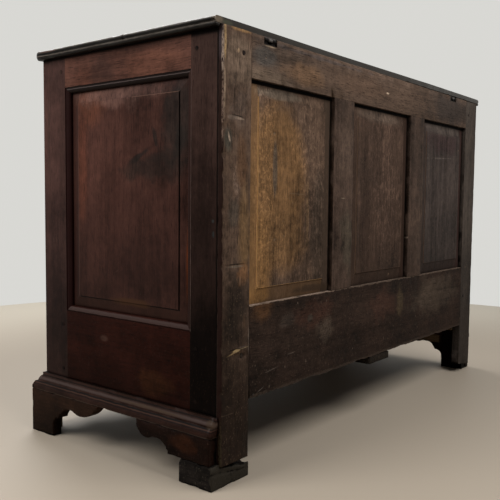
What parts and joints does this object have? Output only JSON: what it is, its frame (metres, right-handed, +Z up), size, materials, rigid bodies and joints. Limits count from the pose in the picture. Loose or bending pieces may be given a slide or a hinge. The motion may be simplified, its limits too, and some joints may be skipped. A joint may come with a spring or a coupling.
{
  "type": "mule chest",
  "caption": "Old joined oak mule chest: a hinged lid over a row of drawers, raised and fielded panels, a base moulding and shaped bracket feet.",
  "frame": {"origin": "on the floor, under the middle of the whole chest", "axes": "+Z up, front faces -Y, X along the width, +X towards the right end as seen from the front"},
  "size_m": [1.256, 0.5548, 0.8488],
  "materials": {
    "polished_oak": "satin",
    "dry_oak": "matte",
    "inner_oak": "matte",
    "brass": "satin",
    "iron": "matte"
  },
  "bodies": {
    "root": {"back_bottom_rail": "dry_oak", "back_muntins": "dry_oak", "back_panel_left": "dry_oak", "back_panel_middle": "dry_oak", "back_panel_right": "dry_oak", "back_stile_left": "dry_oak", "back_stile_right": "dry_oak", "back_top_rail": "dry_oak", "base_moulding_front": "polished_oak", "base_mouldings_end": "polished_oak", "centre_bearer": "inner_oak", "drawer_divider": "polished_oak", "end_bottom_rail_left": "polished_oak", "end_bottom_rail_right": "polished_oak", "end_panel_left": "polished_oak", "end_panel_right": "polished_oak", "end_rear_stile_left": "polished_oak", "end_rear_stile_right": "polished_oak", "end_top_rail_left": "polished_oak", "end_top_rail_right": "polished_oak", "floor_boards": "inner_oak", "floor_ledges": "inner_oak", "foot_block": "dry_oak", "frame_pegs": "inner_oak", "front_bottom_rail": "polished_oak", "front_foot_left": "polished_oak", "front_foot_right": "polished_oak", "front_mid_rail": "polished_oak", "front_muntins": "polished_oak", "front_panels": "polished_oak", "front_post_left": "polished_oak", "front_post_right": "polished_oak", "front_top_rail": "polished_oak", "glue_blocks": "inner_oak", "hinge_leaves": "iron", "hinge_pins": "iron", "hinge_screws_rail": "iron", "lock_case": "iron", "lock_key_plate": "brass", "rear_foot_left": "polished_oak", "rear_foot_right": "polished_oak", "side_bearers": "inner_oak"},
    "lid": {"lid_board_front": "polished_oak", "lid_board_rear": "polished_oak", "lid_strips": "polished_oak", "hinge_straps": "iron", "hinge_screws_lid": "iron", "lock_keeper": "iron"},
    "drawer_right": {"drawer_front_right": "polished_oak", "drawer_box_right": "inner_oak", "drawer_bottom_right": "inner_oak", "drawer_fittings_right": "brass"},
    "bail_inner_right": {"bail_inner_right": "brass"},
    "bail_outer_right": {"bail_outer_right": "brass"},
    "drawer_left": {"drawer_front_left": "polished_oak", "drawer_box_left": "inner_oak", "drawer_bottom_left": "inner_oak", "drawer_fittings_left": "brass"},
    "bail_inner_left": {"bail_inner_left": "brass"},
    "bail_outer_left": {"bail_outer_left": "brass"}
  },
  "joints": [
    {"name": "lid_hinge", "type": "hinge", "parent": "root", "child": "lid", "pos_m": [0, 0.2743, 0.8308], "axis": [-1, 0, 0], "range_deg": [0, 95]},
    {"name": "drawer_right_slide", "type": "slide", "parent": "root", "child": "drawer_right", "axis": [0, -1, 0], "range_m": [0, 0.34]},
    {"name": "bail_inner_right_swing", "type": "hinge", "parent": "drawer_right", "child": "bail_inner_right", "pos_m": [0.1355, -0.2721, 0.235], "axis": [-1, 0, 0], "range_deg": [-18, 195]},
    {"name": "bail_outer_right_swing", "type": "hinge", "parent": "drawer_right", "child": "bail_outer_right", "pos_m": [0.4355, -0.2721, 0.235], "axis": [-1, 0, 0], "range_deg": [-18, 195]},
    {"name": "drawer_left_slide", "type": "slide", "parent": "root", "child": "drawer_left", "axis": [0, -1, 0], "range_m": [0, 0.34]},
    {"name": "bail_inner_left_swing", "type": "hinge", "parent": "drawer_left", "child": "bail_inner_left", "pos_m": [-0.1355, -0.2721, 0.235], "axis": [-1, 0, 0], "range_deg": [-18, 195]},
    {"name": "bail_outer_left_swing", "type": "hinge", "parent": "drawer_left", "child": "bail_outer_left", "pos_m": [-0.4355, -0.2721, 0.235], "axis": [-1, 0, 0], "range_deg": [-18, 195]}
  ]
}
